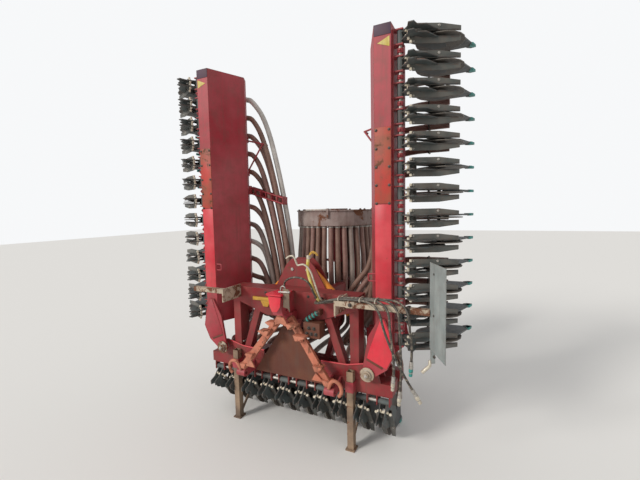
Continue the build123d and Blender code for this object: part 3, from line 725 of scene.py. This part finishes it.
web = {"start": (0.066, -0.044), "turn": atan2(0.160, 0.310), "thick": 0.008,
       "edge": ((0.0, 0.012), (0.014, 0.012), (0.014, 0.052), (0.030, 0.052), (0.030, 0.071), (0.235, 0.071),
                (0.385, 0.052), (0.385, 0.018), (0.064, 0.018)),
       "bolts": ((0.040, 0.055, 0.010), (0.040, -0.055, 0.010), (0.225, 0.054, 0.014)),
       "blocks": (((-0.008, -0.046), (0.008, 0.046)), ((0.010, 0.049), (0.026, 0.069)),
                  ((0.010, -0.069), (0.026, -0.049)), ((-0.024, 0.012), (-0.008, 0.028)),
                  ((-0.024, -0.028), (-0.008, -0.012))),
       "tip": ((0.452, 0.385), (0.474, 0.400), (0.489, 0.455), (0.474, 0.462), (0.440, 0.440))}
shaft = {"x": 0.995, "y": -0.490918, "centreZ": 0.440, "centreTilt": 5.77, "centreCount": 10}


def makeWeb():
    outline = list(web["edge"]) + [(s, -half) for s, half in reversed(web["edge"])]
    plate = plateOf(outline, "y", 0, web["thick"], finishes["web_paint"], 0.0012)
    plate.data.materials.append(finishes["worn_edge"])
    # The inner step faces of the web take the cream: painted sunlight on these edges
    for face in plate.data.polygons:
        if face.center.x < 0.032 and abs(face.normal.y) < 0.4:
            face.material_index = 1
    parts = [plate]
    parts.append(boltOf((0.048, 0, 0), (0, -1, 0), 0.018, finishes["dark_bolt"]))
    for s, half, size in web["bolts"]:
        parts.append(boltOf((s, 0, half), (0, -1, 0), size, finishes["zinc_bolt"]))
    # Small cream bars at the web's root, also in the cream of painted sunlight
    for low, high in web["blocks"]:
        parts.append(barOf((low[0], -0.010, low[1]), (high[0], 0.008, high[1]), finishes["worn_edge"], 0.002))
    for side in (1, -1):
        parts.append(barOf((0.060, -0.002, side * 0.026 - 0.003), (0.370, 0.016, side * 0.026 + 0.003),
                           finishes["element_paint"], 0.0015))
    whole = joined(parts)
    whole.data.transform(Matrix.Translation((*web["start"], 0)) @ Matrix.Rotation(web["turn"], 4, "Z"))
    tip = plateOf(web["tip"], "z", 0.006, 0.020, finishes["teal_paint"], 0.002)
    return joined([whole, tip])


webOne = makeWeb()
turned = Matrix(((1, 0, 0, shaft["x"]), (0, 1, 0, shaft["y"]), (0, 0, 1, 0), (0, 0, 0, 1)))
around = Matrix(((-1, 0, 0, -shaft["x"]), (0, 1, 0, shaft["y"]), (0, 0, -1, 0), (0, 0, 0, 1)))
down = Matrix(((0, 0, 1, 0), (0, 1, 0, 0), (-1, 0, 0, 0), (0, 0, 0, 1)))
tilt = Matrix.Rotation(radians(shaft["centreTilt"]), 4, "X")
rightWebs, leftWebs, middleWebs = [], [], []
for row in range(fan["wingCount"]):
    lift = Matrix.Translation((0, 0, fan["lowRow"] + fan["pitch"] * row))
    rightWebs.append(copyOf(webOne, lift @ turned))
    leftWebs.append(copyOf(webOne, lift @ around))
for place in range(shaft["centreCount"]):
    across = (place - (shaft["centreCount"] - 1) / 2) * fan["pitch"]
    seat = Matrix.Translation((across, shaft["y"], shaft["centreZ"]))
    middleWebs.append(copyOf(webOne, seat @ tilt @ down))
drop(webOne)
for parts, name, body in ((rightWebs, "elementWebsRight", "wing_right"),
                          (leftWebs, "elementWebsLeft", "wing_left"),
                          (middleWebs, "elementWebsCentre", "frame")):
    webs = joined(parts, name)
    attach(webs, body)
print("element webs ready")

# Hydraulic hoses over the right arm, each with a coupler at its hanging end

cordLook = {"radius": 0.009, "ringSteps": 3, "steps": 8}
# Pieces of a coupler: from and to along the hose, radius, sides, bevel, and whether it has the bright finish
couplerLook = ((-0.032, 0.004, 0.0135, 16, 0.002, False), (0.004, 0.020, 0.0155, 6, 0.0012, False),
               (0.020, 0.048, 0.0150, 18, 0.003, True), (0.048, 0.056, 0.0105, 16, 0.001, False),
               (0.056, 0.078, 0.0125, 18, 0.003, True))
cordRoutes = (
    ((0.300, -0.523, 1.250), (0.310, -0.661, 1.250), (0.395, -0.743, 1.276), (0.550, -0.769, 1.334),
     (0.690, -0.773, 1.340), (0.825, -0.790, 1.346), (0.920, -0.828, 1.300), (0.955, -0.832, 1.150),
     (1.035, -0.826, 0.960), (1.120, -0.832, 0.815), (1.170, -0.826, 0.735)),
    ((0.330, -0.523, 1.250), (0.340, -0.639, 1.250), (0.425, -0.721, 1.276), (0.565, -0.747, 1.334),
     (0.760, -0.751, 1.338), (0.895, -0.772, 1.352), (0.990, -0.828, 1.310), (1.000, -0.832, 1.160),
     (1.012, -0.826, 1.040), (1.030, -0.832, 0.910), (1.020, -0.826, 0.800)),
    ((0.360, -0.523, 1.250), (0.370, -0.617, 1.250), (0.455, -0.699, 1.276), (0.580, -0.725, 1.340),
     (0.830, -0.729, 1.346), (0.965, -0.756, 1.356), (1.060, -0.826, 1.310), (1.068, -0.832, 1.160),
     (1.074, -0.826, 1.000), (1.080, -0.832, 0.840), (1.066, -0.826, 0.700)),
    ((0.390, -0.523, 1.250), (0.400, -0.595, 1.250), (0.485, -0.677, 1.276), (0.595, -0.703, 1.334),
     (0.900, -0.707, 1.348), (1.035, -0.740, 1.356), (1.130, -0.826, 1.310), (1.138, -0.832, 1.170),
     (1.150, -0.826, 1.090), (1.152, -0.832, 1.010), (1.146, -0.826, 0.930)),
)


def routeOf(curve):
    # The points of the smooth line that the cord follows
    plain = curve.copy()
    plain.data = curve.data.copy()
    plain.data.bevel_depth = 0
    mesh = bpy.data.meshes.new_from_object(plain)
    points = [tuple(vertex.co) for vertex in mesh.vertices]
    bpy.data.objects.remove(plain, do_unlink=True)
    return points


def makeCoupler(end, way, finish, number):
    # Sleeve, hexagon, collar, groove and nose, in line with the hose's end
    at = Vector(end)
    parts = []
    for low, high, radius, sides, bevel, bright in couplerLook:
        tone = finish if bright else finishes["zinc_bolt"]
        parts.append(rodOf(at + way * low, at + way * high, radius, tone, sides, bevel))
    return joined(parts, "hoseCoupler" + str(number))


for number, route in enumerate(cordRoutes):
    cord = curveOf("hydraulicHose" + str(number + 1), route, cordLook["radius"], cordLook["ringSteps"],
                   cordLook["steps"])
    cord.data.materials.append(finishes["black_hose"])
    line = routeOf(cord)
    way = (Vector(line[-1]) - Vector(line[-2])).normalized()
    tone = finishes["teal_paint"] if number == 3 else finishes["coupler"]
    coupler = makeCoupler(line[-1], way, tone, number + 1)
    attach(cord, "frame")
    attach(coupler, "frame")
print("hydraulic hoses ready")

# Details on the wings: markers, bolted cover strips, lashing eyes and hose brackets

wingTrim = {"faceY": -0.5649, "stripIn": 0.8135, "stripOut": 0.9415, "coverLow": 2.055, "coverHigh": 2.626,
            "lowCover": 1.240, "capLow": 3.285, "capHigh": 3.366, "boltPitch": 0.137, "bossY": -0.4909,
            "pivotZ": 0.690, "rodRadius": 0.0085, "bracketFeet": (2.424, 2.775),
            "marker": ((0.839, 3.232), (0.933, 3.272), (0.933, 3.197)),
            "eye": ((0.816, -0.552, 1.449), (0.758, -0.552, 1.449), (0.752, -0.552, 1.452),
                    (0.752, -0.552, 1.503), (0.758, -0.552, 1.506), (0.816, -0.552, 1.506)),
            "bracket": (((0.775, -0.060, 2.775), (0.562, -0.060, 2.717)),
                        ((0.562, -0.060, 2.717), (0.775, -0.060, 2.424)),
                        ((0.562, -0.068, 2.717), (0.562, 0.030, 2.717))),
            "crease": ((0.738, 0.806), (0.742, 0.822), (0.876, 0.766), (0.868, 0.750)),
            "footPlate": ((0.754, 0.868), (0.857, 1.156), (0.886, 1.154), (0.938, 1.030), (0.962, 0.884),
                          (0.905, 0.760), (0.878, 0.772), (0.744, 0.826))}


def coverStrips():
    # Marker, bolted cover, plain cover below it and the dark cap on top
    face = wingTrim["faceY"]
    back = face + 0.002
    inner, outer = wingTrim["stripIn"], wingTrim["stripOut"]
    low, high = wingTrim["coverLow"], wingTrim["coverHigh"]
    parts = [plateOf(wingTrim["marker"], "y", face, -0.0022, finishes["marker_yellow"], 0.0005)]
    parts.append(barOf((inner, face - 0.0040, low), (outer, back, high), finishes["cover_paint"], 0.0012))
    level = high - 0.022
    while level > low:
        for x in (inner + 0.014, outer - 0.014):
            parts.append(boltOf((x, face - 0.004, level), (0, -1, 0), 0.015, finishes["dark_bolt"], 0.5))
        level -= wingTrim["boltPitch"]
    parts.append(barOf((inner, face - 0.0035, wingTrim["lowCover"]), (outer, back, low - 0.006),
                       finishes["cover_low"], 0.0012))
    parts.append(barOf((inner - 0.001, face - 0.003, wingTrim["capLow"]),
                       (outer + 0.001, back, wingTrim["capHigh"]), finishes["dark_cap"], 0.001))
    return parts


def shaftBosses():
    # A red boss with a stub between each two pairs of lugs
    parts = []
    x, y = shaft["x"], wingTrim["bossY"]
    for row in range(fan["wingCount"] - 1):
        z = fan["lowRow"] + fan["pitch"] * (row + 0.5)
        parts.append(rodOf((x, y, z - 0.016), (x, y, z + 0.016), 0.024, finishes["red_paint"], 18, 0.003))
        parts.append(rodOf((x, -0.514, z), (x, -0.528, z), 0.008, finishes["red_paint"], 12, 0.002))
    return parts


def eyeAndBracket():
    # Eye for a lashing, and the bracket behind the beam
    parts = [tubeOf("eye", wingTrim["eye"], 0.0065, finishes["red_paint"])]
    for first, last in wingTrim["bracket"]:
        parts.append(rodOf(first, last, wingTrim["rodRadius"], finishes["red_paint"]))
    for z in wingTrim["bracketFeet"]:
        parts.append(barOf((0.745, -0.112, z - 0.030), (0.790, -0.050, z + 0.030),
                           finishes["red_paint"], 0.004))
    return parts


def hoseStraps():
    # Straps that hold the hoses against the back of the beam
    parts = []
    for row in range(fan["wingCount"]):
        z = fan["lowRow"] + fan["pitch"] * row
        parts.append(barOf((1.120, -0.062, z - 0.033), (1.134, 0.012, z + 0.033),
                           finishes["dark_bolt"], 0.004))
    return parts


def pivotCap():
    # Scuffed washer, nut and stud of the fold pivot, and the crease over them
    x, z = fan["pivotX"], wingTrim["pivotZ"]
    parts = [rodOf((x, -0.590, z), (x, -0.600, z), 0.060, finishes["arm_steel"], 28, 0.003)]
    parts.append(boltOf((x, -0.605, z), (0, -1, 0), 0.052, finishes["arm_steel"], 0.45))
    parts.append(rodOf((x, -0.620, z), (x, -0.634, z), 0.014, finishes["zinc_bolt"], 16, 0.003))
    parts.append(plateOf(wingTrim["crease"], "y", -0.5840, -0.0030, finishes["dark_plate"], 0.001))
    return parts


rack = {"beamEnd": (-0.765, 2.218), "freeEnd": (-0.330, 2.086), "lift": 0.062, "layers": (-0.060, 0.022),
        "combX": 0.335, "combZ": 2.0875, "combPitch": 0.0685, "combCount": 7, "slope": 0.3034}


def hoseRack():
    # Twin rods that hold the left fan of hoses, with their foot on the beam
    parts = []
    for lift in (0, rack["lift"]):
        for y in rack["layers"]:
            first = (rack["beamEnd"][0], y, rack["beamEnd"][1] + lift)
            last = (rack["freeEnd"][0], y, rack["freeEnd"][1] + lift)
            parts.append(rodOf(first, last, wingTrim["rodRadius"], finishes["red_paint"]))
    for step in range(rack["combCount"]):
        x = rack["combX"] + rack["combPitch"] * step
        z = rack["combZ"] + (x - rack["combX"]) * rack["slope"]
        parts.append(barOf((-x - 0.004, -0.068, z - 0.008), (-x + 0.004, 0.030, z + 0.070),
                           finishes["red_paint"], 0.0015))
    parts.append(barOf((-0.770, -0.112, 2.196), (-0.722, -0.050, 2.290), finishes["red_paint"], 0.004))
    return joined(parts, "hoseRack")


trimParts = coverStrips() + shaftBosses() + eyeAndBracket() + hoseStraps() + pivotCap()
rightWingTrim = joined(trimParts, "wingDetailsRight")
leftWingTrim = copyOf(rightWingTrim, mirror)
leftWingTrim.name = "wingDetailsLeft"
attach(hoseRack(), "wing_left")
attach(rightWingTrim, "wing_right")
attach(leftWingTrim, "wing_left")
# The foot plate, a face plate over the wing's own foot; the right one in red lightened with painted sunlight,
# the left one in the plain red
footRight = plateOf(wingTrim["footPlate"], "y", -0.5845, -0.0040, finishes["bright_red"], 0.0015)
footRight.name = "footPlateRight"
footLeft = copyOf(footRight, mirror)
footLeft.name = "footPlateLeft"
paint(footLeft, finishes["red_paint"])
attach(footRight, "wing_right")
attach(footLeft, "wing_left")
print("wing details ready")

# Details on the hitch: steps on the bars, apex plate, hooks, catch, valve block

hitchTrim = {"front": -0.700, "deep": 0.085, "hookRadius": 0.015, "barTop": (0.040, 1.090),
             "barFall": 0.530, "barReach": 0.410,
             "steps": ((1.037, 0.159), (0.947, 0.242), (0.711, 0.395), (0.604, 0.474))}


def stepOf(level, reach):
    # A pressed step: a flat tread that runs out to a point, and its riser on the bar
    topX, topZ = hitchTrim["barTop"]
    bar = topX + (topZ - level) / hitchTrim["barFall"] * hitchTrim["barReach"]
    tread = ((bar - 0.030, level + 0.016), (reach - 0.012, level + 0.012), (reach, level + 0.002),
             (bar + 0.024, level - 0.030), (bar - 0.006, level - 0.034))
    return plateOf(tread, "y", hitchTrim["front"], hitchTrim["deep"], finishes["hitch_paint"], 0.004)


def hitchDetails():
    steps = [stepOf(level, reach) for level, reach in hitchTrim["steps"]]
    gusset = plateOf(((0.330, 0.668), (0.405, 0.600), (0.290, 0.600)), "y", -0.690, 0.014,
                     finishes["hitch_paint"], 0.002)
    hook = tubeOf("hook", ((0.448, -0.690, 0.560), (0.462, -0.700, 0.600), (0.488, -0.704, 0.640),
                           (0.535, -0.706, 0.640), (0.568, -0.704, 0.596), (0.566, -0.700, 0.535),
                           (0.540, -0.698, 0.515)), hitchTrim["hookRadius"], finishes["hitch_paint"])
    right = joined(steps + [gusset, hook])
    left = copyOf(right, mirror)
    apex = plateOf(((-0.036, 1.104), (0.036, 1.104), (0.078, 1.030), (0.050, 1.030), (0, 1.048),
                    (-0.050, 1.030), (-0.078, 1.030)), "y", -0.694, 0.016, finishes["hitch_paint"], 0.002)
    return joined([right, left, apex], "hitchDetails")


def catchDetails():
    # The lid and its front plate take the red lightened with painted sunlight
    lid = plateOf(((-0.092, -0.762), (-0.060, -0.790), (0.074, -0.790), (0.074, -0.600), (-0.074, -0.600)),
                  "z", 1.308, 0.014, finishes["bright_red"], 0.003)
    side = plateOf(((0.066, 1.212), (0.066, 1.372), (0.128, 1.366), (0.130, 1.172), (0.112, 1.204)), "y",
                   -0.745, 0.008, finishes["leg_steel"], 0.0015)
    parts = [lid, side]
    parts.append(plateOf(((-0.066, 1.300), (0.062, 1.300), (0.052, 1.215), (0.020, 1.170), (-0.030, 1.168),
                          (-0.052, 1.210)), "y", -0.7655, -0.0040, finishes["bright_red"], 0.002))
    parts.append(rodOf((0.030, -0.748, 1.340), (0.140, -0.748, 1.345), 0.009,
                       finishes["zinc_bolt"], 14, 0.002))
    shackle = ((0.040, -0.730, 1.322), (0.036, -0.730, 1.372), (0.062, -0.730, 1.392), (0.090, -0.730, 1.372),
               (0.086, -0.730, 1.322))
    parts.append(tubeOf("shackle", shackle, 0.006, finishes["zinc_bolt"]))
    # Ochre lever beside the catch
    parts.append(barOf((-0.394, -0.546, 1.187), (-0.072, -0.523, 1.219), finishes["ochre_paint"], 0.003))
    parts.append(plateOf(((-0.310, 1.188), (-0.200, 1.188), (-0.228, 1.132), (-0.280, 1.132)),
                         "y", -0.542, 0.018, finishes["ochre_paint"], 0.002))
    # Valve block under the beam with its ports, and the wrapped hose end beside it
    parts.append(barOf((0.180, -0.612, 0.925), (0.338, -0.500, 1.062), finishes["dark_plate"], 0.006))
    for x, z in ((0.215, 0.965), (0.258, 0.965), (0.301, 0.965), (0.236, 1.015), (0.284, 1.015)):
        parts.append(boltOf((x, -0.612, z), (0, -1, 0), 0.022, finishes["dark_bolt"], 0.8))
    a, b = Vector((0.186, -0.580, 1.064)), Vector((0.318, -0.580, 1.154))
    parts.append(rodOf(a, b, 0.021, finishes["dark_bolt"], 20, 0.004))
    for step in range(4):
        at = a + (b - a) * (0.14 + 0.22 * step)
        parts.append(rodOf(at, at + (b - a) * 0.09, 0.0235, finishes["teal_paint"], 20, 0.002))
    parts.append(barOf((0.300, -0.590, 1.120), (0.330, -0.520, 1.170), finishes["dark_plate"], 0.004))
    # Bolts on the hood
    for x in (-0.260, -0.190, 0.190, 0.260):
        parts.append(boltOf((x, -0.523, 1.262), (0, -1, 0), 0.018, finishes["dark_bolt"], 0.6))
    return joined(parts, "catchDetails")


def deckDetails():
    # Front deck with its rolled edge, between the hitch plate and the pivot ears
    # The deck takes the frame's darker red, which has painted shade in it
    deck = plateOf(((0.300, 0.600), (0.300, 0.700), (0.545, 0.706), (0.700, 0.742), (0.700, 0.600)), "y",
                   -0.5225, 0.006, finishes["shaded_frame_red"], 0.001)
    edge = tubeOf("edge", ((0.300, -0.520, 0.702), (0.545, -0.520, 0.708), (0.560, -0.520, 0.712),
                           (0.700, -0.520, 0.744)), 0.007, finishes["cover_low"])
    rail = rodOf((0.560, -0.500, 0.745), (0.560, -0.470, 0.745), 0.008, finishes["zinc_bolt"])
    right = joined([deck, edge, rail])
    left = copyOf(right, mirror)
    return joined([right, left], "deckDetails")


for piece in (hitchDetails(), catchDetails(), deckDetails()):
    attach(piece, "frame")

# Details on the board, its arm and the drum


def armDetails():
    parts = [barOf((1.100, -0.783, 1.272), (1.126, -0.727, 1.328), finishes["dark_bolt"], 0.004)]
    parts.append(barOf((0.640, -0.781, 1.274), (0.720, -0.729, 1.326), finishes["arm_steel"], 0.005))
    parts.append(boltOf((0.680, -0.781, 1.300), (0, -1, 0), 0.022, finishes["dark_bolt"]))
    parts.append(rodOf((1.262, -0.760, 0.965), (1.262, -0.772, 0.925), 0.011, finishes["coupler"]))
    parts.append(rodOf((1.262, -0.772, 0.930), (1.212, -0.792, 0.880), 0.012, finishes["coupler"], 14, 0.003))
    for z in (1.020, 1.300, 1.580):
        parts.append(boltOf((1.300, -0.826, z), (-0.47, -0.88, 0), 0.016, finishes["dark_bolt"], 0.6))
    return joined(parts, "boardArmDetails")


drumTrim = {"bolts": 12, "boltCircle": 0.425, "ring": 0.446, "lid": 0.130}


def drumDetails():
    # Plate and its upright on the cover, bolts, the ring over the hoses and the raised lid
    parts = [barOf((-0.160, 0.108, 2.010), (0.084, 0.230, 2.026), finishes["pale_steel"], 0.003)]
    parts.append(barOf((0.084, 0.104, 1.930), (0.104, 0.125, 2.030), finishes["drum_steel"], 0.003))
    count, circle, y = drumTrim["bolts"], drumTrim["boltCircle"], fan["drumY"]
    for place in range(count):
        turn = 2 * pi * place / count
        parts.append(boltOf((circle * cos(turn), y + circle * sin(turn), 2.014), (0, 0, 1), 0.020,
                            finishes["dark_bolt"]))
    parts.append(rodOf((0, y, 1.846), (0, y, 1.852), drumTrim["ring"], finishes["drum_steel"], 64, 0.002))
    parts.append(rodOf((0, y, 2.013), (0, y, 2.028), drumTrim["lid"], finishes["drum_steel"], 40, 0.003))
    return joined(parts, "drumDetails")


for piece in (armDetails(), drumDetails()):
    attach(piece, "frame")
print("frame details ready")

# Short hoses that stand up behind the catch: one in yellow tape, one curly and pale

standing = (
    ("tapedHose", 0.014, "yellow_tape", "fitting",
     ((0.345, -0.523, 1.235), (0.335, -0.590, 1.240), (0.300, -0.620, 1.330), (0.268, -0.630, 1.430),
      (0.246, -0.632, 1.520), (0.252, -0.634, 1.590), (0.262, -0.636, 1.632))),
    ("paleCable", 0.008, "coupler", "bare",
     ((0.365, -0.523, 1.240), (0.358, -0.600, 1.250), (0.345, -0.640, 1.330), (0.318, -0.655, 1.430),
      (0.290, -0.660, 1.520), (0.240, -0.665, 1.572), (0.196, -0.666, 1.566), (0.172, -0.666, 1.556),
      (0.156, -0.666, 1.590), (0.140, -0.666, 1.634), (0.096, -0.666, 1.640), (0.062, -0.666, 1.612))),
    ("blackLoop", 0.009, "black_hose", "object",
     ((0.028, -0.640, 1.322), (0.018, -0.650, 1.372), (0.050, -0.660, 1.428), (0.130, -0.662, 1.458),
      (0.215, -0.655, 1.450), (0.275, -0.645, 1.405), (0.300, -0.640, 1.330), (0.322, -0.610, 1.270),
      (0.325, -0.523, 1.262))),
)
for name, radius, tone, far, route in standing:
    cord = curveOf(name, route, radius, cordLook["ringSteps"], cordLook["steps"])
    cord.data.materials.append(finishes[tone])
    line = routeOf(cord)
    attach(cord, "frame")
    if far == "fitting":
        top = Vector(line[-1])
        strands = [rodOf(top - Vector((0, 0, 0.020)), top + Vector((0, 0, 0.012)), 0.018,
                         finishes["coupler"], 16, 0.004)]
        for number in range(5):
            lean = Vector((0.030 + 0.012 * number, -0.004 * number, 0.040 + 0.006 * (number % 3)))
            ends = (top, top + lean * 0.45 + Vector((0, 0, 0.016)), top + lean,
                    top + lean + Vector((0.018, 0, -0.016 - 0.004 * number)))
            strands.append(tubeOf("strand", [tuple(p) for p in ends], 0.0045, finishes["ochre_paint"], 2, 4))
        frayed = joined(strands, "frayedTape")
        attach(frayed, "frame")

# Ties round the bundle on the arm
ties = []
for x, y, z in ((0.585, -0.735, 1.335), (0.760, -0.745, 1.340), (0.880, -0.750, 1.342)):
    ring = ((x, y - 0.052, z), (x, y - 0.050, z + 0.016), (x, y, z + 0.022), (x, y + 0.050, z + 0.016),
            (x, y + 0.052, z), (x, y + 0.030, z - 0.016), (x, y, z - 0.018), (x, y - 0.030, z - 0.016),
            (x, y - 0.052, z - 0.002))
    ties.append(tubeOf("tie", ring, 0.0042, finishes["coupler"], 2, 4))
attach(joined(ties, "hoseTies"), "frame")
print("standing hoses and ties ready")
